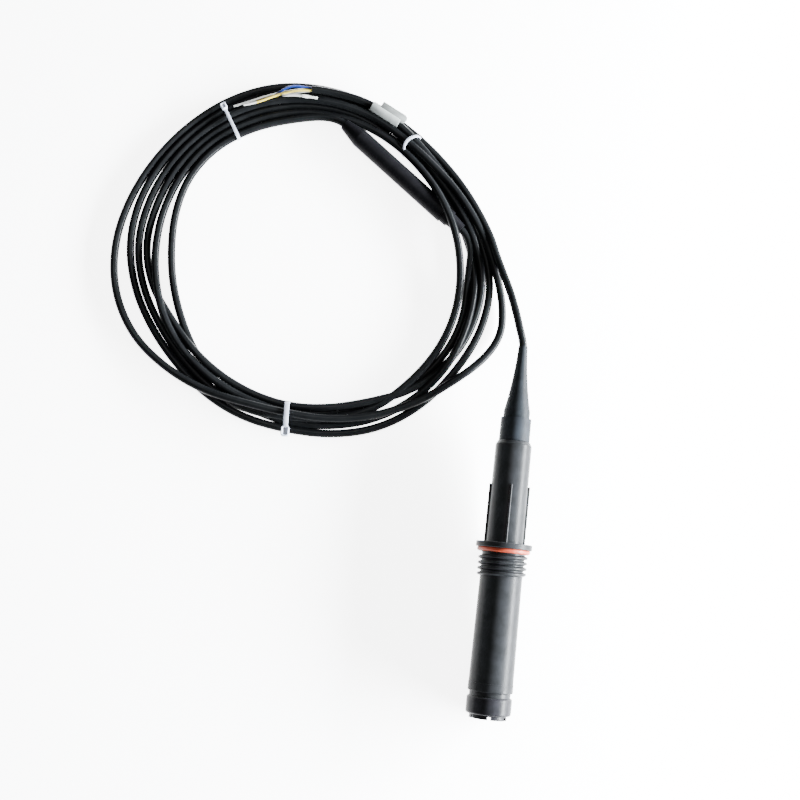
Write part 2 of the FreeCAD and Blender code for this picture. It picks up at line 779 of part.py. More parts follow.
def seals():
    """The four O-rings, each on its own seat."""
    pieces = [seal("flange_seal", "neck_dia", "flange_seal_section", size("flange_seal_place"))]
    for label, seat, section, place in (
        ("collar_seal", "collar_spigot_dia", "collar_seal_section", "collar_seal_place"),
        ("head_seal", "head_spigot_dia", "head_seal_section", "head_seal_place"),
        ("cap_seal", "cap_spigot_dia", "cap_seal_section", "cap_seal_place"),
    ):
        pieces.append(seal(label, f"{seat} - 2 * {section}", section, size(place)))
    return pieces


def feature(label, shape):
    """A piece whose shape is worked out here, from the sheet's sizes."""
    piece = doc.addObject("Part::Feature", label)
    piece.Label = label
    piece.Shape = shape
    return piece


def smooth_ring(points, height):
    """A prism over one smooth closed outline."""
    curve = Part.BSplineCurve()
    curve.interpolate([V(x, y, 0) for x, y in points], PeriodicFlag=True)
    face = Part.Face(Part.Wire([curve.toShape()]))
    return face.extrude(V(0, 0, height))


def route(points):
    """A wire of straight runs joined by tangent arcs, with its arc radii."""
    edges, radii, start = [], [], points[0]
    for before, corner, after in zip(points, points[1:], points[2:]):
        back, ahead = before - corner, after - corner
        turn = math.pi - back.getAngle(ahead)
        reach = 0.45 * min(back.Length, ahead.Length)
        radii.append(reach / math.tan(turn / 2))
        enter = corner + back.normalize() * reach
        leave = corner + ahead.normalize() * reach
        inward = (back + ahead).normalize()
        middle = corner + inward * (radii[-1] * (1 / math.cos(turn / 2) - 1))
        edges.append(Part.LineSegment(start, enter).toShape())
        edges.append(Part.Arc(enter, middle, leave).toShape())
        start = leave
    edges.append(Part.LineSegment(start, points[-1]).toShape())
    return Part.Wire(edges), radii


def tube(label, points, diameter):
    """A round cord along a route, with its volume checked against its length."""
    wire, radii = route([V(*point) for point in points])
    start, ahead = wire.Edges[0].Vertexes[0].Point, wire.Edges[0].tangentAt(wire.Edges[0].FirstParameter)
    disc = Part.Wire([Part.Circle(start, ahead, diameter / 2).toShape()])
    shape = wire.makePipeShell([disc], True, True)
    expected = math.pi * diameter ** 2 / 4 * wire.Length
    print(label, "length", round(wire.Length, 1), "radii", [round(radius, 1) for radius in radii])
    if abs(shape.Volume / expected - 1) > 0.01:
        raise RuntimeError(f"{label} has the wrong volume")
    return feature(label, shape)


def relief_mouth(beyond=0.0):
    """The point on the cable's axis at the strain relief's tip, or beyond it."""
    return LAY.multVec(V(0, 0, size("relief_tip") + beyond))


def cable_lead():
    """The loose cable from the strain relief down to the coil."""
    mouth, straight = relief_mouth(), relief_mouth(LEAD_STRAIGHT)
    return tube("cable_lead", [mouth, straight] + [V(*point) for point in LEAD_ROUTE], size("cable_dia"))


def on_floor(x, y, z, turn):
    """A placement on the floor, turned about the vertical."""
    return FreeCAD.Placement(V(x, y, z), FreeCAD.Rotation(V(0, 0, 1), turn))


def module_placement():
    """The module lies on the floor: its own z axis points to its far end."""
    x, y, turn = MODULE_PLACE
    lie = FreeCAD.Placement(V(0, 0, 0), FreeCAD.Rotation(V(0, 1, 0), 90))
    return on_floor(x, y, size("module_dia") / 2, turn).multiply(lie)


def module_slot(shape, foot, top):
    """Cuts the board's slot in an end plug."""
    wide = size("module_board_width") + 2 * size("running_fit")
    thick = size("board_thick") + 2 * size("running_fit")
    return shape.cut(Part.makeBox(thick, wide, top - foot, V(-thick / 2, -wide / 2, foot)))


def module_pieces():
    """The inline module: sleeve, tapered far end, stepped near end and the board inside."""
    outer, half = size("module_dia") / 2, size("module_length") / 2
    inner, plug = outer - size("module_wall"), size("module_plug")
    fit, seat = size("slip_fit"), size("board_slot")
    sleeve = Part.makeCylinder(outer, 2 * half, V(0, 0, -half)).cut(
        Part.makeCylinder(inner, 2 * half, V(0, 0, -half)))
    far = Part.makeCylinder(inner - fit, plug, V(0, 0, half - plug)).fuse(
        Part.makeCone(outer, size("module_far_dia") / 2, size("module_far_length"), V(0, 0, half)))
    step = size("module_near_step_dia") / 2
    near = Part.makeCylinder(inner - fit, plug, V(0, 0, -half)).fuse(
        Part.makeCylinder(step, size("module_near_step"), V(0, 0, -half - size("module_near_step"))))
    taper_foot = -half - size("module_near_step") - size("module_near_length")
    near = near.fuse(Part.makeCone(size("module_near_dia") / 2, step - 1, size("module_near_length"),
                                   V(0, 0, taper_foot)))
    far = module_slot(far, half - plug, half - plug + seat)
    near = module_slot(near, -half + plug - seat, -half + plug)
    wide, thick = size("module_board_width"), size("board_thick")
    board = Part.makeBox(thick, wide, 2 * (half - plug + seat - fit), V(-thick / 2, -wide / 2, -half + plug - seat + fit))
    pieces = []
    for label, shape in (("module_sleeve", sleeve), ("module_far_end", far), ("module_near_end", near),
                         ("module_board", board)):
        piece = feature(label, shape.removeSplitter())
        piece.Placement = module_placement()
        pieces.append(piece)
    return pieces


def module_room():
    """The space round the module that the coiled turns leave free."""
    gap = size("free_gap")
    radius, half = size("module_dia") / 2 + gap, size("module_length") / 2
    far = size("module_far_length") + gap
    near = size("module_near_step") + size("module_near_length") + gap
    room = Part.makeCylinder(radius, 2 * half, V(0, 0, -half))
    room = room.fuse(Part.makeCone(radius, size("module_far_dia") / 2 + gap, far, V(0, 0, half)))
    step = size("module_near_step_dia") / 2 + gap
    room = room.fuse(Part.makeCylinder(step, near, V(0, 0, -half - near)))
    room.Placement = module_placement()
    return room


def marker_placement():
    """The marker's own z axis runs along its strand."""
    place = MARKER_PLACE
    along = FreeCAD.Placement(V(0, 0, 0), FreeCAD.Rotation(V(0, 1, 0), 90))
    return on_floor(place["x"], place["y"], place["z"], place["turn"]).multiply(along)


def cable_marker():
    """Clip-on marker: a sleeve round the cable with a flat, bare flag on its outer side."""
    bore = size("cable_dia") / 2 + size("free_gap") / 2
    outer, length = bore + size("marker_wall"), size("marker_length")
    sleeve = Part.makeCylinder(outer, length, V(0, 0, -length / 2))
    thick, wide = size("marker_flag_thick"), size("marker_flag_width")
    flag = Part.makeBox(thick, wide, size("marker_flag_length"), V(-outer, outer * 0.55, -length / 2 + 1))
    flag.rotate(V(0, 0, 0), V(0, 0, 1), -MARKER_PLACE["lean"] / 2)
    shape = sleeve.fuse(flag).cut(Part.makeCylinder(bore, length, V(0, 0, -length / 2))).removeSplitter()
    piece = feature("cable_marker", shape)
    piece.Placement = marker_placement()
    return piece


def marker_room():
    """The space that the marker takes out of the coil, with the strand left inside it."""
    gap = size("free_gap")
    bore = size("cable_dia") / 2 + gap / 2
    outer, length = bore + size("marker_wall") + gap, size("marker_length") + 2 * gap
    room = Part.makeCylinder(outer, length, V(0, 0, -length / 2))
    room = room.cut(Part.makeCylinder(bore - gap, length, V(0, 0, -length / 2)))
    room.Placement = marker_placement()
    return room


def tie_loop(bundle, gap):
    """A tie's closed strap in the x and z directions round a bundle of the given width."""
    thick, wide = size("strap_thick"), size("strap_width")
    tall = size("coil_height") - 2 * thick
    inner = Part.makeBox(bundle, wide + 2, tall, V(-bundle / 2, -wide / 2 - 1, thick))
    outer = Part.makeBox(bundle + 2 * thick, wide, tall + 2 * thick, V(-bundle / 2 - thick, -wide / 2, 0))
    corners = [edge for edge in outer.Edges if abs(edge.BoundBox.YLength - wide) < 1e-6 and edge.Length < wide + 1]
    return outer.makeFillet(thick * 1.6, corners).cut(inner.makeFillet(
        thick * 0.6, [edge for edge in inner.Edges if edge.BoundBox.YLength > wide + 1.9]))


def cable_ties():
    """The three nylon ties: strap, ratchet head on the outer side and the tail through it."""
    pieces = []
    for label, place in TIE_PLACES.items():
        thick, wide = size("strap_thick"), size("strap_width")
        edge = place["bundle"] / 2 + thick
        head_wide, head_deep, head_tall = size("tie_head_width"), size("tie_head_depth"), size("tie_head_height")
        low = (size("coil_height") - head_tall) / 2
        head = Part.makeBox(head_deep, head_wide, head_tall, V(edge - 0.2, -head_wide / 2, low))
        tail = Part.makeBox(head_deep + size("tie_tail"), wide, thick,
                            V(edge - 0.2, -wide / 2, low + head_tall / 2 - thick / 2))
        shape = tie_loop(place["bundle"], 0).fuse(head.fuse(tail)).removeSplitter()
        piece = feature(label, shape)
        piece.Placement = on_floor(place["x"], place["y"], 0, place["turn"])
        pieces.append(piece)
    return pieces


def tie_room(place):
    """The notch that a tie presses into the coil, all round it."""
    thick, gap = size("strap_thick"), size("free_gap")
    wide = size("strap_width") + 2 * gap
    reach = place["bundle"] + 12
    room = Part.makeBox(reach, wide, size("coil_height") + 2, V(-reach / 2, -wide / 2, -1))
    left = place["bundle"] - 2 * gap
    room = room.cut(Part.makeBox(left, wide, size("coil_height") - 2 * (thick + gap), V(-left / 2, -wide / 2, thick + gap)))
    head = size("tie_head_width") + 2 * gap
    room = room.fuse(Part.makeBox(12, head, size("coil_height") + 2, V(place["bundle"] / 2 - gap, -head / 2, -1)))
    room.Placement = on_floor(place["x"], place["y"], 0, place["turn"])
    return room


def cut_end(across=0.0, up=0.0):
    """The middle of the cable's cut end, or a place beside it on the same plane."""
    side = math.radians(CUT_END["turn"] + 90)
    return V(CUT_END["x"] + across * math.cos(side), CUT_END["y"] + across * math.sin(side), CUT_END["z"] + up)


def core_room():
    """The place past the cable's cut end where its stripped cores lie on the lower turns."""
    floor = size("cable_dia") + size("free_gap") / 3
    inner, outer = POCKET["inner"], POCKET["outer"]
    room = Part.makeBox(POCKET["length"], inner + outer, size("coil_height"), V(0, -outer, floor))
    room.Placement = on_floor(CUT_END["x"], CUT_END["y"], 0, CUT_END["turn"])
    rest = Part.makeBox(3 * POCKET["length"], 4 * inner, size("coil_height"), V(-POCKET["length"], inner * 0.62, floor))
    rest.Placement = on_floor(CUT_END["x"], CUT_END["y"], 0, CUT_END["turn"] + 16)
    return room.cut(rest)


def cable_coil():
    """The tied coil as one solid of its outer shape, with room for what is on and beside it."""
    height = size("coil_height")
    ring = smooth_ring(COIL_OUTER, height).cut(smooth_ring(COIL_INNER, height))
    long_edges = [edge for edge in ring.Edges if edge.Length > 300]
    ring = ring.makeFillet(size("coil_edge"), long_edges)
    rooms = [module_room(), marker_room(), core_room()] + [tie_room(place) for place in TIE_PLACES.values()]
    for room in rooms:
        ring = ring.cut(room)
    solids = sorted(ring.Solids, key=lambda solid: solid.Volume)
    return feature("cable_coil", solids[-1])


def cores():
    """The four stripped cores and the ferrule crimped on the white one."""
    pieces, turn = [], math.radians(CUT_END["turn"])
    for label, points in CORE_ROUTES.items():
        start = cut_end(*CORE_STARTS[label])
        square = start + V(math.cos(turn), math.sin(turn), 0) * CORE_STRAIGHT
        pieces.append(tube(label, [start, square] + [V(*point) for point in points], size("core_dia")))
    before, end = [V(*point) for point in CORE_ROUTES["core_white"][-2:]]
    ahead = (end - before).normalize()
    pieces.append(feature("core_ferrule", Part.makeCylinder(size("ferrule_dia") / 2, size("ferrule_length"), end, ahead)))
    return pieces


def build():
    pieces = [main_housing(), collar(), gland_seal(), gland_washer(), strain_relief(), cable_inlet()]
    pieces += [sensor_head(), membrane_cap(), membrane_disc(), optical_window(), optics_holder()]
    pieces += optics() + electronics() + [board_carrier(), potting_plug(), inner_leads()] + seals()
    pieces += [cable_lead(), cable_coil()] + module_pieces() + [cable_marker()] + cable_ties() + cores()
    doc.recompute()
    return pieces


def check_and_write(pieces):
    """Stops on any failed object or shape, then writes each piece to its own file."""
    for item in doc.Objects:
        if "Invalid" in item.State or "Error" in item.State:
            raise RuntimeError(f"{item.Label} failed: {item.State}")
    for piece in pieces:
        if piece.Shape.isNull() or not piece.Shape.isValid() or not piece.Shape.Solids:
            raise RuntimeError(f"{piece.Label} has no valid solid")
    for piece in pieces:
        piece.Shape.exportStep(f"parts/{piece.Label}.step")
    print(len(pieces), "pieces; dip and place", LAY)


check_and_write(build())
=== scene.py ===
import math

import bmesh
import bpy
from mathutils import Matrix, Vector


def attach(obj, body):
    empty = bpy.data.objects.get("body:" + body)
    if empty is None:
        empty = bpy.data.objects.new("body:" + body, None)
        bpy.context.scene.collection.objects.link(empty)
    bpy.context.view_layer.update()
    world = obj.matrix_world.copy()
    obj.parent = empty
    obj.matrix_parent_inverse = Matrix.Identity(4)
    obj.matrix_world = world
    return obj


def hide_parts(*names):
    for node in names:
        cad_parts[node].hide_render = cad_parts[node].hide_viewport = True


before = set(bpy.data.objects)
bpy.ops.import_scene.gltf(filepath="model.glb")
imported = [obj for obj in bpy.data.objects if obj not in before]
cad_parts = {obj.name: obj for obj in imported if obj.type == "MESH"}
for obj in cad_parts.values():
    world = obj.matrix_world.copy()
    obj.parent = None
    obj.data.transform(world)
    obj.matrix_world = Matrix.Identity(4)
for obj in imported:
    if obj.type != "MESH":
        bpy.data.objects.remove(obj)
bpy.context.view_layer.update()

# Camera

# About 1 m above the surface and tilted by 9.4 degrees, as fitted to the sensor and the coil's outline.
CAMERA_PLACE = (-0.083, -0.07399, 0.99578)
CAMERA_DEGREES = (9.3732, -0.7554, 6.0784)
LENS, FILM_WIDTH = 59.662, 36.0

camera_data = bpy.data.cameras.new("photo_camera")
camera_data.lens = LENS
camera_data.sensor_width = FILM_WIDTH
camera = bpy.data.objects.new("photo_camera", camera_data)
camera.location = CAMERA_PLACE
camera.rotation_euler = [math.radians(degrees) for degrees in CAMERA_DEGREES]
bpy.context.collection.objects.link(camera)
bpy.context.scene.camera = camera

# Cords

# Diameters in metres. Turns that lie side by side in the photo are 6.0 mm apart.
CABLE = 0.006
CORE = 0.00185
# The coil's heights are those of a 5.6 mm cable, as in the CAD. The lift keeps the drawn one off the
# floor.
CABLE_LIFT = 0.3
# Steps from one control point to the next, and in the round of a cord.
CABLE_STEPS, CORE_STEPS, ROUND_STEPS = 10, 8, 6

# The loose lead: its points from the strain relief down to the coil, in millimetres.
LEAD = [
    (0.0, 136.8, 25.8), (-0.6, 141.0, 25.9), (-3.2, 149.0, 25.2), (-7.6, 164.5, 21.8),
    (-13.0, 180.5, 17.4), (-19.6, 195.5, 13.2), (-25.6, 209.5, 10.0),
]

# The coil's turns: angle in degrees round the coil's middle, distance from it and height, in millimetres.
COIL_MIDDLE = (-171.4, 189.7)
FIRST_TURNS = [
    (15, 143.9, 7.7), (30, 137.5, 4.2), (45, 134.0, 2.8), (60, 134.3, 2.8), (75, 138.2, 2.8),
    (90, 141.9, 2.8), (105, 145.4, 2.8), (120, 145.5, 2.8), (135, 144.2, 2.8), (150, 144.1, 2.8),
    (165, 145.8, 2.8), (180, 148.4, 2.8), (195, 148.4, 2.8), (210, 143.7, 3.2), (225, 134.2, 5.4),
    (240, 126.3, 9.1), (255, 119.7, 11.0), (270, 119.8, 11.3), (285, 125.6, 10.5), (300, 132.7, 9.1),
    (315, 140.9, 8.6), (328, 148.6, 6.5), (335, 154.9, 5.4), (341, 159.3, 4.6), (346, 160.2, 4.4),
    (351, 157.1, 4.4), (356, 153.2, 4.6), (363, 147.2, 5.5), (375, 139.5, 7.3),
    (390, 131.0, 8.4), (405, 125.2, 8.6), (420, 125.2, 8.3), (435, 128.9, 7.5), (450, 130.9, 7.3),
    (465, 133.2, 5.7), (480, 134.0, 4.1), (495, 133.1, 3.0), (510, 132.3, 2.8), (525, 131.6, 2.8),
    (540, 130.8, 2.8), (555, 126.4, 2.8), (570, 121.9, 2.8), (585, 120.2, 2.9), (600, 122.0, 4.0),
    (615, 124.3, 7.6), (630, 122.6, 6.8), (645, 124.6, 5.0), (660, 127.7, 6.2), (675, 125.0, 8.2),
    (690, 124.2, 6.2), (705, 123.2, 6.1), (720, 120.8, 8.5), (735, 118.5, 13.2), (750, 116.0, 14.8),
    (765, 115.8, 10.2), (780, 117.4, 7.6), (795, 119.7, 5.7), (810, 121.0, 4.2), (825, 122.1, 3.5),
    (840, 122.4, 2.8), (855, 122.5, 2.8), (870, 120.3, 2.8), (885, 118.4, 3.0), (900, 116.3, 4.9),
    (915, 115.5, 8.1), (930, 116.6, 7.8), (945, 116.2, 7.3), (960, 116.2, 8.4), (975, 116.6, 6.1),
    (990, 118.2, 3.3), (1005, 119.8, 2.8), (1020, 123.4, 2.8), (1035, 126.9, 2.8), (1050, 130.1, 2.8),
    (1065, 130.2, 2.8), (1080, 126.1, 3.9),
]
LAST_TURNS = [
    (105, 115.7, 4.1), (120, 116.6, 2.8), (135, 116.7, 2.8), (150, 114.2, 2.8), (165, 108.9, 2.8),
    (180, 104.3, 2.8), (195, 103.2, 2.8), (210, 104.5, 2.8), (225, 109.1, 2.8), (240, 115.8, 2.8),
    (255, 121.6, 2.8), (270, 125.9, 2.8), (285, 129.9, 2.8), (300, 134.5, 2.8), (315, 136.9, 4.6),
    (330, 137.2, 8.2), (345, 134.5, 6.3), (360, 132.5, 4.0), (375, 127.2, 3.4), (390, 120.7, 2.8),
    (405, 117.5, 2.8), (420, 120.3, 2.8), (435, 124.8, 2.8), (450, 126.8, 2.8), (465, 127.9, 2.8),
    (480, 128.3, 2.8), (495, 127.6, 2.8), (510, 126.4, 2.8), (525, 125.0, 2.8), (540, 124.4, 2.8),
    (555, 119.6, 2.8), (570, 111.7, 4.3), (585, 110.0, 8.3), (600, 109.8, 5.9), (615, 110.9, 4.1),
    (630, 113.7, 4.8), (645, 116.4, 7.0), (660, 120.7, 7.8), (675, 130.5, 7.0), (690, 136.2, 2.8),
    (705, 139.1, 2.8), (720, 138.8, 4.2), (735, 131.7, 7.2), (750, 125.7, 5.8), (765, 123.0, 3.5),
    (780, 126.3, 2.8), (795, 132.3, 2.8), (810, 135.5, 2.8), (825, 139.0, 2.8), (840, 139.6, 2.8),
    (855, 138.6, 2.8), (870, 138.5, 2.8), (885, 138.9, 2.8), (900, 137.2, 2.8), (915, 132.7, 2.8),
    (930, 128.1, 2.8), (945, 126.1, 2.8), (960, 127.7, 2.8), (975, 129.7, 2.8), (990, 131.1, 2.8),
    (1005, 136.4, 2.8), (1020, 141.9, 2.8), (1035, 143.6, 2.8), (1050, 144.1, 2.8), (1065, 146.3, 2.8),
    (1080, 145.0, 2.8), (1095, 136.6, 2.8), (1110, 130.8, 2.8), (1125, 128.5, 4.1), (1140, 130.9, 8.4),
    (1155, 137.4, 8.4),
]
MODULE_ENTRY = [(-44.7, 220.2, 6.2), (-54.2, 227.4, 7.4)]
MODULE_EXIT = [(-153.3, 302.1, 7.4), (-162.9, 309.2, 6.3)]
CABLE_END = [(-174.0, 328.2, 8.4), (-181.9, 327.5, 8.4)]

# The stripped cores: their points from the jacket's end outwards, in millimetres.
CORES = {
    "core_blue": [
        (-182.02, 328.44, 9.35), (-187.97, 328.41, 9.5), (-195.6, 328.2, 10.6),
        (-201.6, 325.9, 10.8), (-206.4, 322.2, 10.2), (-210.9, 318.9, 8.4),
    ],
    "core_yellow": [
        (-181.78, 326.56, 9.35), (-187.74, 325.83, 9.6), (-197.0, 323.2, 11.4),
        (-209.2, 318.9, 10.6), (-223.3, 311.8, 9.2), (-233.6, 308.8, 8.8),
    ],
    "core_white": [
        (-181.78, 326.56, 7.45), (-187.74, 325.83, 7.45), (-194.6, 323.6, 7.0),
        (-201.4, 321.7, 7.4), (-205.0, 319.4, 10.0), (-202.0, 318.3, 13.2), (-195.0, 319.4, 13.4),
        (-187.6, 319.6, 13.0),
    ],
    "core_drain": [
        (-182.02, 328.44, 7.45), (-187.97, 327.71, 7.45), (-197.5, 325.6, 6.9),
        (-209.0, 321.9, 6.8), (-219.5, 317.8, 6.7), (-230.5, 312.3, 6.7), (-241.6, 307.4, 7.0),
    ],
}


def on_coil(table):
    """Points of the coil's turns, in millimetres."""
    points = []
    for angle, distance, height in table:
        turn = math.radians(angle)
        points.append((COIL_MIDDLE[0] + distance * math.cos(turn),
                       COIL_MIDDLE[1] + distance * math.sin(turn), height + CABLE_LIFT))
    return points


def cord_curve(name, points, diameter, steps):
    """A round cord on one smooth spline along its control points, given in millimetres."""
    curve = bpy.data.curves.new(name, "CURVE")
    curve.dimensions = "3D"
    # The bevel is 1 m and each point's radius brings it down to size, because the box of a curve counts
    # the points' radii and would otherwise be a metre too large.
    curve.bevel_depth = 1.0
    curve.bevel_resolution = ROUND_STEPS
    curve.resolution_u = steps
    curve.use_fill_caps = True
    spline = curve.splines.new("NURBS")
    spline.points.add(len(points) - 1)
    for control, (x, y, z) in zip(spline.points, points):
        control.co = (x / 1000, y / 1000, z / 1000, 1.0)
        control.radius = diameter / 2
    # Set after the points, which would put them back to their defaults.
    spline.order_u = 3
    spline.use_endpoint_u = True
    piece = bpy.data.objects.new(name, curve)
    bpy.context.collection.objects.link(piece)
    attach(piece, "sensor")
    return piece


first_points = LEAD + on_coil(FIRST_TURNS) + MODULE_ENTRY
last_points = MODULE_EXIT + on_coil(LAST_TURNS) + CABLE_END
cable_first = cord_curve("cable_first", first_points, CABLE, CABLE_STEPS)
cable_last = cord_curve("cable_last", last_points, CABLE, CABLE_STEPS)
core_pieces = {name: cord_curve(name + "_wire", points, CORE, CORE_STEPS)
               for name, points in CORES.items()}

# Ties, marker and crimped end

# All of these are in millimetres.
SHARP_DEGREES = 35
EDGE_ROUND = 0.25
# A strap's long edges turn by more than this, and its loop by less.
EDGE_DEGREES = 60
# Powers below 1 draw the strap's circle out to a flat-sided loop that hugs the bundle.
FLAT_TOP, FLAT_SIDE = 0.55, 0.7
STRAP_STEPS = 56
STRAP_OFF_FLOOR = 0.2
# How deep the head sits on its strap, its rounding and rim as shares of its size, and its slot's depth.
HEAD_SUNK = 1.2
POST_ROUND, LID_ROUND, LID_RIM = 0.28, 0.22, 0.14
SLOT_DEEP = 0.9
TURN_STEPS = 32
MERGE_GAP = 0.001


def finished(name, shape):
    """The modelled shape, drawn in millimetres, as an object that rides on the sensor."""
    bmesh.ops.recalc_face_normals(shape, faces=shape.faces)
    bmesh.ops.scale(shape, vec=(0.001, 0.001, 0.001), verts=shape.verts)
    mesh = bpy.data.meshes.new(name)
    shape.to_mesh(mesh)
    shape.free()
    mesh.shade_smooth()
    mesh.set_sharp_from_angle(angle=math.radians(SHARP_DEGREES))
    piece = bpy.data.objects.new(name, mesh)
    bpy.context.collection.objects.link(piece)
    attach(piece, "sensor")
    return piece


def moved_verts(made):
    return [part for part in made["geom"] if isinstance(part, bmesh.types.BMVert)]


def rounded(shape, edges, offset, segments):
    bmesh.ops.bevel(shape, geom=edges, offset=offset, affect="EDGES", segments=segments, profile=0.5,
                    material=-1)


def top_face(shape):
    return max(shape.faces, key=lambda face: face.calc_center_median().z)


def tie(name, place, turn, half, tall, width, thick, bow, head):
    """A strap drawn tight round the bundle, given by its middle, turn and half span, and its head."""
    shape = bmesh.new()
    loop = bmesh.ops.create_circle(shape, cap_ends=False, segments=STRAP_STEPS, radius=1.0)["verts"]
    for vert in loop:
        across = math.copysign(abs(vert.co.x) ** FLAT_TOP, vert.co.x)
        rise = math.copysign(abs(vert.co.y) ** FLAT_SIDE, vert.co.y)
        vert.co = (across * half, bow * (1 - across ** 2) - width / 2,
                   tall / 2 + STRAP_OFF_FLOOR + rise * (tall / 2 - thick))
    band = bmesh.ops.extrude_edge_only(shape, edges=shape.edges[:])
    bmesh.ops.translate(shape, verts=moved_verts(band), vec=(0, width, 0))
    bmesh.ops.recalc_face_normals(shape, faces=shape.faces)
    bmesh.ops.solidify(shape, geom=shape.faces[:], thickness=-thick)
    corners = [edge for edge in shape.edges if edge.calc_face_angle(0.0) > math.radians(EDGE_DEGREES)]
    rounded(shape, corners, EDGE_ROUND, 2)
    if head:
        spot, long, wide, high = head
        block = bmesh.ops.create_cube(shape, size=1.0)["verts"]
        bmesh.ops.scale(shape, vec=(long, wide, high), verts=block)
        bmesh.ops.translate(shape, vec=(spot, 0, tall - HEAD_SUNK + high / 2), verts=block)
        sides = {edge for vert in block for edge in vert.link_edges}
        posts = [edge for edge in sides if abs(edge.verts[0].co.z - edge.verts[1].co.z) > high / 2]
        rounded(shape, posts, wide * POST_ROUND, 3)
        rounded(shape, list(top_face(shape).edges), high * LID_ROUND, 2)
        lid = top_face(shape)
        bmesh.ops.inset_region(shape, faces=[lid], thickness=wide * LID_RIM)
        bmesh.ops.translate(shape, verts=lid.verts, vec=(0, 0, -SLOT_DEEP))
    bmesh.ops.rotate(shape, matrix=Matrix.Rotation(math.radians(turn), 3, "Z"), verts=shape.verts)
    bmesh.ops.translate(shape, vec=(place[0], place[1], 0), verts=shape.verts)
    piece = finished(name + "_strap", shape)
    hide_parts(name)
    return piece


# Name, middle, degrees, half span, height, width, thickness, bow, and the head's place along the strap,
# length, width and height. The second tie's head lies under the bundle.
straps = [
    tie("cable_tie_1", (-241.9, 294.4), 121.4, 14.2, 9.4, 2.6, 1.0, 0.0, (13.2, 5.4, 4.6, 3.6)),
    tie("cable_tie_2", (-99.6, 290.2), 54.2, 9.2, 12.4, 2.3, 1.0, 4.6, None),
    tie("cable_tie_3", (-170.6, 66.0), 93.0, 11.8, 15.8, 3.7, 1.0, 0.0, (-10.5, 7.8, 6.2, 3.6)),
]


def turned(shape, ends, profile, closed):
    """Turns (way along, radius) points between two places."""
    line = [shape.verts.new((radius, 0, way)) for way, radius in profile]
    runs = [shape.edges.new(pair) for pair in zip(line, line[1:])]
    if closed:
        runs.append(shape.edges.new((line[-1], line[0])))
    bmesh.ops.spin(shape, geom=line + runs, cent=(0, 0, 0), axis=(0, 0, 1), angle=math.tau,
                   steps=TURN_STEPS, use_merge=True)
    bmesh.ops.remove_doubles(shape, verts=shape.verts, dist=MERGE_GAP)
    start, finish = Vector(ends[0]), Vector(ends[1])
    turn = (finish - start).to_track_quat("Z", "Y").to_matrix()
    bmesh.ops.rotate(shape, matrix=turn, verts=shape.verts)
    bmesh.ops.translate(shape, vec=start, verts=shape.verts)


# The marker: a tube that is clipped round the cable, with a bare flag on it.
MARKER_TUBE = [(-133.6, 318.9, 8.7), (-110.9, 307.0, 8.7)]
MARKER_WALL = [(0.4, 3.15), (0.0, 3.3), (0.0, 3.9), (0.3, 4.15), (25.2, 4.15), (25.6, 3.9), (25.6, 3.3),
               (25.2, 3.15)]
FLAG = [(-124.7, 322.5), (-115.0, 317.4), (-107.0, 313.3), (-105.4, 311.4), (-105.4, 309.3),
        (-107.2, 306.9), (-109.6, 306.6), (-119.0, 311.2), (-128.0, 316.0)]
FLAG_BOTTOM = 11.3
FLAG_THICK = 0.9

shape = bmesh.new()
turned(shape, MARKER_TUBE, MARKER_WALL, True)
plate = shape.faces.new([shape.verts.new((x, y, FLAG_BOTTOM)) for x, y in FLAG])
raised = moved_verts(bmesh.ops.extrude_face_region(shape, geom=[plate]))
bmesh.ops.translate(shape, verts=raised, vec=(0, 0, FLAG_THICK))
rim = [edge for edge in shape.edges if edge.verts[0] in raised and edge.verts[1] in raised]
rounded(shape, rim, EDGE_ROUND, 2)
marker = finished("cable_marker_flag", shape)
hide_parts("cable_marker")

# The crimped end on the white core: a flared collar, a narrower tube, and the wire's hollow at its tip.
FERRULE = [(-188.6, 319.6, 13.05), (-176.6, 319.3, 12.5)]
FERRULE_STEPS = [(0, 0.0), (0, 1.05), (0.25, 1.3), (4.6, 1.3), (4.9, 1.1), (5.3, 1.02), (11.3, 1.02),
                 (11.8, 0.9), (12.0, 0.7), (11.4, 0.55), (11.4, 0.0)]

shape = bmesh.new()
turned(shape, FERRULE, FERRULE_STEPS, False)
crimp = finished("core_ferrule_crimp", shape)
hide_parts("core_ferrule")

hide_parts("cable_lead", "cable_coil")
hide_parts("cable_coil")
for name, piece in core_pieces.items():
    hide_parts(name)

# Materials

# A Mix node's sockets for colours, which share their names with those for numbers.
FACTOR, FIRST_COLOUR, SECOND_COLOUR, MIXED = 0, 6, 7, 2
# Noise seldom leaves its middle values, so these are drawn out over a look's whole range.
CLOUDY = {"From Min": 0.35, "From Max": 0.65}
WORN = {"From Min": 0.3, "From Max": 0.7}
# Handling marks are finer than the flow's patches, and the shrinking's swell is slower.
MARKS_FINER, SWELL_SLOWER = 2.3, 0.6
# Depths of a metal's lines and of glass's polish, in millimetres, and how far a line is drawn out.
LINE_DEEP, POLISH_DEEP = 0.01, 0.01
LINE_STRETCH = 0.08


def linear(text):
    """A colour written as sRGB hex, as linear values."""
    values = [int(text[i:i + 2], 16) / 255 for i in (0, 2, 4)]
    return [v / 12.92 if v <= 0.04045 else ((v + 0.055) / 1.055) ** 2.4 for v in values] + [1.0]


def per_metre(size):
    """The scale that gives a pattern marks of this size in millimetres."""
    return 1000 / size


def add(tree, kind, inputs, **settings):
    """Adds a node with its settings. Each input is a value or another node's output."""
    node = tree.nodes.new(kind)
    for name, value in settings.items():
        setattr(node, name, value)
    for name, value in inputs.items():
        if isinstance(value, bpy.types.NodeSocket):
            tree.links.new(value, node.inputs[name])
        else:
            node.inputs[name].default_value = value
    return node


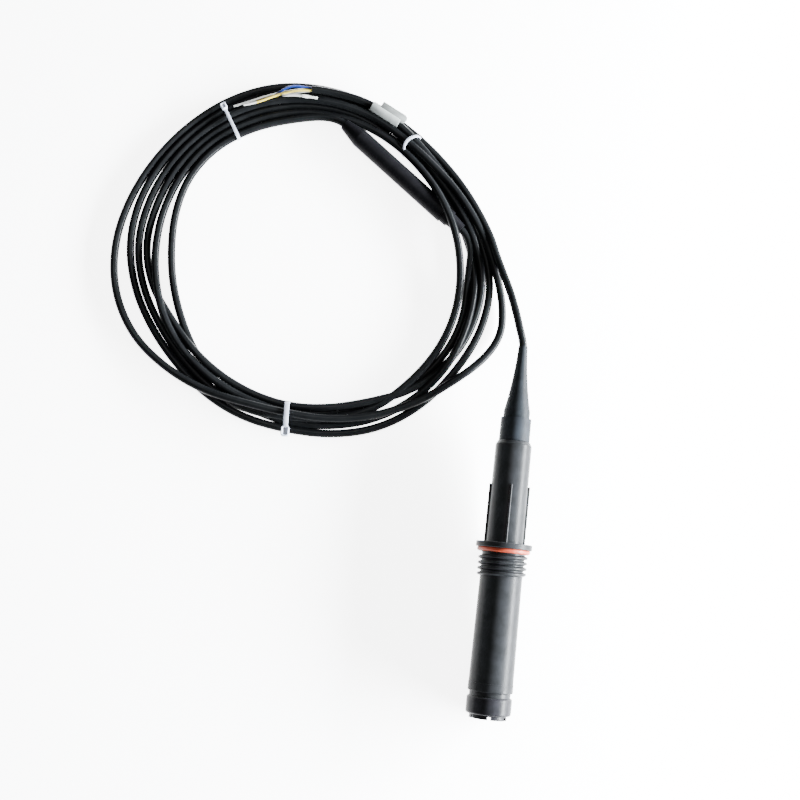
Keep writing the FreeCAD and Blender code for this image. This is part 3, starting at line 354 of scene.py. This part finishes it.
def new_material(name, shader_inputs):
    """A material with its shader, and its object's coordinates for the patterns."""
    material = bpy.data.materials.new(name)
    material.use_nodes = True
    tree = material.node_tree
    tree.nodes.clear()
    shader = add(tree, "ShaderNodeBsdfPrincipled", shader_inputs)
    add(tree, "ShaderNodeOutputMaterial", {"Surface": shader.outputs["BSDF"]})
    return material, tree, shader, add(tree, "ShaderNodeTexCoord", {}).outputs["Object"]


def moulded(name, dark, light, rough, ior, shine, grain=0.19, grain_deep=0.02, patch=8.33, swell=0.06,
            bare=None):
    """Moulded or extruded plastic or rubber. The melt's flow leaves patches a little darker and lighter,
    handling leaves duller and glossier marks about half as large, shrinking leaves a slow swell, and the
    tool's spark-eroded surface a fine grain. Sizes and depths are in millimetres. Real grain is about
    0.05 mm, too fine to show, so it is drawn as coarse as it takes to soften the gloss."""
    material, tree, shader, where = new_material(
        name, {"Roughness": rough, "IOR": ior, "Specular IOR Level": shine})
    marks, slow = patch / MARKS_FINER, patch / SWELL_SLOWER
    flow = add(tree, "ShaderNodeTexNoise", {"Vector": where, "Scale": per_metre(patch), "Detail": 3.0,
                                            "Roughness": 0.6})
    cloud = add(tree, "ShaderNodeMapRange", {"Value": flow.outputs["Fac"], **CLOUDY})
    colour = add(tree, "ShaderNodeMix", {FACTOR: cloud.outputs["Result"], FIRST_COLOUR: linear(dark),
                                         SECOND_COLOUR: linear(light)}, data_type="RGBA").outputs[MIXED]
    if bare:
        # Beyond this X, in millimetres, the core is stripped to its wire.
        end, wire = bare
        along = add(tree, "ShaderNodeSeparateXYZ", {"Vector": where})
        covered = add(tree, "ShaderNodeMath", {0: along.outputs["X"], 1: end / 1000},
                      operation="GREATER_THAN")
        colour = add(tree, "ShaderNodeMix", {FACTOR: covered.outputs["Value"], FIRST_COLOUR: linear(wire),
                                             SECOND_COLOUR: colour}, data_type="RGBA").outputs[MIXED]
    tree.links.new(colour, shader.inputs["Base Color"])
    handled = add(tree, "ShaderNodeTexNoise", {"Vector": where, "Scale": per_metre(marks), "Detail": 4.0,
                                               "Roughness": 0.5})
    gloss = add(tree, "ShaderNodeMapRange", {"Value": handled.outputs["Fac"], **WORN,
                                             "To Min": rough - 0.05, "To Max": rough + 0.06})
    tree.links.new(gloss.outputs["Result"], shader.inputs["Roughness"])
    shrink = add(tree, "ShaderNodeTexNoise", {"Vector": where, "Scale": per_metre(slow), "Detail": 1.0,
                                              "Roughness": 0.5})
    waved = add(tree, "ShaderNodeBump", {"Height": shrink.outputs["Fac"], "Distance": swell / 1000,
                                         "Strength": 0.5})
    sparks = add(tree, "ShaderNodeTexNoise", {"Vector": where, "Scale": per_metre(grain), "Detail": 2.0,
                                              "Roughness": 0.5})
    grained = add(tree, "ShaderNodeBump", {"Height": sparks.outputs["Fac"], "Distance": grain_deep / 1000,
                                           "Strength": 0.6, "Normal": waved.outputs["Normal"]})
    tree.links.new(grained.outputs["Normal"], shader.inputs["Normal"])
    return material


def drawn_metal(name, low, high, rough, line):
    """Drawn or ground metal: fine lines along Y, given by their width in millimetres. Real lines are about
    0.02 mm wide, too fine to show, so they are drawn as coarse as it takes to break up the shine."""
    material, tree, shader, where = new_material(name, {"Roughness": rough, "Metallic": 1.0})
    stretch = add(tree, "ShaderNodeMapping", {"Vector": where, "Scale": (1.0, LINE_STRETCH, 1.0)})
    lines = add(tree, "ShaderNodeTexNoise", {"Vector": stretch.outputs["Vector"], "Scale": per_metre(line),
                                             "Detail": 3.0, "Roughness": 0.5}).outputs["Fac"]
    cloud = add(tree, "ShaderNodeMapRange", {"Value": lines, **CLOUDY})
    colour = add(tree, "ShaderNodeMix", {FACTOR: cloud.outputs["Result"], FIRST_COLOUR: linear(low),
                                         SECOND_COLOUR: linear(high)}, data_type="RGBA")
    gloss = add(tree, "ShaderNodeMapRange", {"Value": lines, **WORN, "To Min": rough - 0.06,
                                             "To Max": rough + 0.08})
    ridges = add(tree, "ShaderNodeBump", {"Height": lines, "Distance": LINE_DEEP / 1000, "Strength": 0.5})
    tree.links.new(colour.outputs[MIXED], shader.inputs["Base Color"])
    tree.links.new(gloss.outputs["Result"], shader.inputs["Roughness"])
    tree.links.new(ridges.outputs["Normal"], shader.inputs["Normal"])
    return material


# Black acetal, injection-moulded in a spark-eroded tool: deep black with a soft satin gloss.
housing = moulded("black_acetal_housing", "151617", "1b1c1e", 0.34, 1.48, 0.053)
# The same acetal in a smoother tool: a shade darker and a little glossier than the housing.
cap_look = moulded("black_acetal_cap", "131315", "19191c", 0.32, 1.48, 0.053)
# Glass-filled nylon, moulded: the fibres at its surface make it dull, and slightly blue beside the acetal.
collar_look = moulded("filled_nylon_collar", "15171a", "1a1d21", 0.5, 1.53, 0.027, grain_deep=0.03)
# Thermoplastic elastomer, moulded over the cable: a matt, dark blue-grey skin with hardly any highlight.
relief_look = moulded("elastomer_boot", "121416", "171a1d", 0.5, 1.5, 0.03, grain_deep=0.03)
# Silicone rubber, compression-moulded and pigmented: brick orange with a soft, waxy sheen.
orange_look = moulded("orange_silicone_seal", "6a2212", "84331f", 0.42, 1.41, 0.208)
# Nitrile rubber, compression-moulded, and the cast black resin beside it: flat charcoal.
black_seal = moulded("black_nitrile_rubber", "161617", "202022", 0.45, 1.52, 0.046)
# Polyurethane jacket, extruded: near black and smooth, with a narrow highlight along each turn. Its grain
# comes from the melt, longer and shallower than a tool's.
jacket = moulded("polyurethane_jacket", "0a0b0c", "0f1011", 0.22, 1.5, 0.03, grain=0.33, grain_deep=0.01,
                 patch=16.67, swell=0.08)
# Polyolefin sleeve, shrunk over the module: the deepest black on the object, satin.
module_look = moulded("polyolefin_sleeve", "08080a", "0c0c0e", 0.42, 1.5, 0.03)
# Polypropylene, moulded without pigment: a cloudy, greenish grey with a waxy gloss.
marker_look = moulded("natural_polypropylene", "5f6261", "6e7170", 0.4, 1.49, 0.103)
# Natural nylon, moulded: milky white, with the cool tint of the light painted into its colour.
nylon = moulded("natural_nylon_tie", "8f94a2", "a4a9b6", 0.35, 1.53, 0.182)
# PVC insulation, extruded over stranded copper: clean, strong colour with a plain gloss. The yellow
# core's last 10 mm are bare tinned strands, which look pale.
blue_look = moulded("blue_pvc_insulation", "061a50", "0a2668", 0.35, 1.54, 0.266)
yellow_look = moulded("yellow_pvc_insulation", "9c8a34", "b29e40", 0.38, 1.54, 0.266,
                      bare=(-223.8, "9a9a96"))
white_look = moulded("white_pvc_insulation", "8a8a86", "9c9c98", 0.38, 1.54, 0.266)
wire_look = moulded("grey_pvc_insulation", "9b9c9e", "b4b5b7", 0.4, 1.54, 0.044)
# Polycarbonate filled with carbon black, moulded: dead black so that no stray light comes back.
black_moulded = moulded("black_polycarbonate", "18181a", "222225", 0.5, 1.58, 0.038)
# Natural nylon of the board's connector, moulded: warm off-white.
white_moulded = moulded("cream_nylon_connector", "d4d2c8", "e6e4da", 0.4, 1.53, 0.046)
# Polyester disc, coated with the dyed film that senses oxygen: dull wine red.
film_look = moulded("dyed_polyester_film", "3a1d26", "4a2732", 0.5, 1.57, 0.041, grain=0.38)
# Cast epoxy of the lamps, and the coloured glass of the filter: polished, so nearly smooth.
lamp_blue = moulded("blue_epoxy_lamp", "5b83d8", "7a9ee6", 0.12, 1.55, 0.043)
lamp_red = moulded("red_epoxy_lamp", "c23b3b", "d65252", 0.12, 1.55, 0.043)
filter_look = moulded("red_glass_filter", "6b1218", "85202a", 0.1, 1.52, 0.046)
# Solder resist over woven glass: green, and uneven from the weave, which is drawn as a coarse grain.
board_look = moulded("green_solder_resist", "14512c", "1e6a3a", 0.35, 1.55, 0.043, grain=0.55)

# Tinned copper strands, drawn and twisted: pale grey, half bright.
tinned = drawn_metal("tinned_copper_strands", "a9aaa8", "d5d6d4", 0.35, 0.25)
# Stainless steel, ground: neutral grey with a fine line.
steel = drawn_metal("ground_stainless_steel", "9c9ea2", "c0c2c6", 0.3, 0.4)
# Brass, stamped from rolled sheet: warm yellow, half bright.
brass = drawn_metal("rolled_brass_washer", "a8863f", "c9a65a", 0.32, 0.45)

# Optical crown glass, ground and polished: clear with a faint green tint, and almost flat.
TINT_PATCH, POLISH_WAVE = 11.0, 5.0
glass, tree, shader, where = new_material(
    "polished_crown_glass", {"Roughness": 0.04, "Transmission Weight": 0.9, "IOR": 1.52})
tint = add(tree, "ShaderNodeTexNoise", {"Vector": where, "Scale": per_metre(TINT_PATCH), "Detail": 2.0})
cloud = add(tree, "ShaderNodeMapRange", {"Value": tint.outputs["Fac"], **CLOUDY})
colour = add(tree, "ShaderNodeMix", {FACTOR: cloud.outputs["Result"], FIRST_COLOUR: linear("dfe6e8"),
                                     SECOND_COLOUR: linear("f2f6f7")}, data_type="RGBA")
wave = add(tree, "ShaderNodeTexNoise", {"Vector": where, "Scale": per_metre(POLISH_WAVE), "Detail": 2.0})
polish = add(tree, "ShaderNodeBump", {"Height": wave.outputs["Fac"], "Distance": POLISH_DEEP / 1000,
                                      "Strength": 0.2})
tree.links.new(colour.outputs[MIXED], shader.inputs["Base Color"])
tree.links.new(polish.outputs["Normal"], shader.inputs["Normal"])

NODE_LOOKS = {
    "main_housing": housing, "flange_seal": orange_look, "collar": collar_look,
    "strain_relief": relief_look,
    "sensor_head": housing, "membrane_cap": cap_look, "membrane_disc": film_look, "cap_seal": black_seal,
    "head_seal": black_seal, "optical_window": glass, "optics_holder": black_moulded, "blue_led": lamp_blue,
    "red_led": lamp_red, "photodiode": black_moulded, "optical_filter": filter_look,
    "temperature_sensor": steel, "circuit_board": board_look, "microcontroller": black_moulded,
    "transceiver": black_moulded, "lead_connector": white_moulded, "board_carrier": black_moulded,
    "potting_plug": black_seal, "collar_seal": black_seal, "gland_seal": black_seal, "gland_washer": brass,
    "inner_leads": wire_look, "cable_inlet": jacket, "cable_lead": jacket, "cable_coil": jacket,
    "module_sleeve": module_look, "module_near_end": module_look, "module_far_end": module_look,
    "module_board": board_look, "cable_marker": marker_look, "cable_tie_1": nylon, "cable_tie_2": nylon,
    "cable_tie_3": nylon, "core_blue": blue_look, "core_yellow": yellow_look, "core_white": white_look,
    "core_drain": tinned, "core_ferrule": white_look,
}
for node, look in NODE_LOOKS.items():
    for slot in bpy.data.objects[node].material_slots:
        slot.material = look

NEW_PIECE_LOOKS = [
    (cable_first, jacket, "cable_jacket"), (cable_last, jacket, "cable_jacket"),
    (marker, marker_look, "marker_plastic"), (crimp, white_look, "tinned_wire"),
    (core_pieces["core_blue"], blue_look, "core_blue"),
    (core_pieces["core_yellow"], yellow_look, "core_yellow"),
    (core_pieces["core_white"], white_look, "core_white"),
    (core_pieces["core_drain"], tinned, "tinned_wire"),
] + [(strap, nylon, "tie_nylon") for strap in straps]
for piece, look, slot in NEW_PIECE_LOOKS:
    piece.data.materials.append(look)

# Floor and light

# A pale, evenly lit surface that glows a little, so that it stays white in the photo's soft light.
FLOOR_HALF = 4.0
FLOOR_GLOW = 6.0
floor_mesh = bpy.data.meshes.new("floor")
shape = bmesh.new()
bmesh.ops.create_grid(shape, x_segments=1, y_segments=1, size=FLOOR_HALF)
shape.to_mesh(floor_mesh)
shape.free()
floor = bpy.data.objects.new("floor", floor_mesh)
bpy.context.collection.objects.link(floor)
floor_look = new_material("matt_white_board", {
    "Roughness": 0.8, "Base Color": linear("f9f9f9"), "Specular IOR Level": 0.1,
    "Emission Color": linear("ffffff"), "Emission Strength": FLOOR_GLOW})[0]
floor_mesh.materials.append(floor_look)


def area_light(name, place, aim, size, power, colour=(1.0, 1.0, 1.0)):
    """A rectangular light: its place, the point that it faces, its sides in metres and its watts."""
    data = bpy.data.lights.new(name, "AREA")
    data.shape = "RECTANGLE"
    data.size, data.size_y = size
    data.energy = power
    data.color = colour
    light = bpy.data.objects.new(name, data)
    light.location = place
    light.rotation_euler = (Vector(aim) - Vector(place)).to_track_quat("-Z", "Y").to_euler()
    bpy.context.collection.objects.link(light)


# A long low strip from the right draws the highlights along the sensor and the turns. A weak soft light
# above opens the tops. The surroundings fill the rest.
COOL_WHITE = (0.93, 0.97, 1.0)
SURROUNDINGS = 0.25
area_light("right_light", (0.95, 0.1, 0.24), (-0.05, 0.1, 0.0), (1.6, 0.22), 470.0, COOL_WHITE)
area_light("top_light", (-0.3, 0.6, 1.7), (-0.1, 0.1, 0.0), (0.9, 0.9), 16.0)
world = bpy.data.worlds.new("studio")
world.use_nodes = True
background = world.node_tree.nodes["Background"]
background.inputs["Color"].default_value = linear("ffffff")
background.inputs["Strength"].default_value = SURROUNDINGS
bpy.context.scene.world = world

bpy.context.view_layer.update()
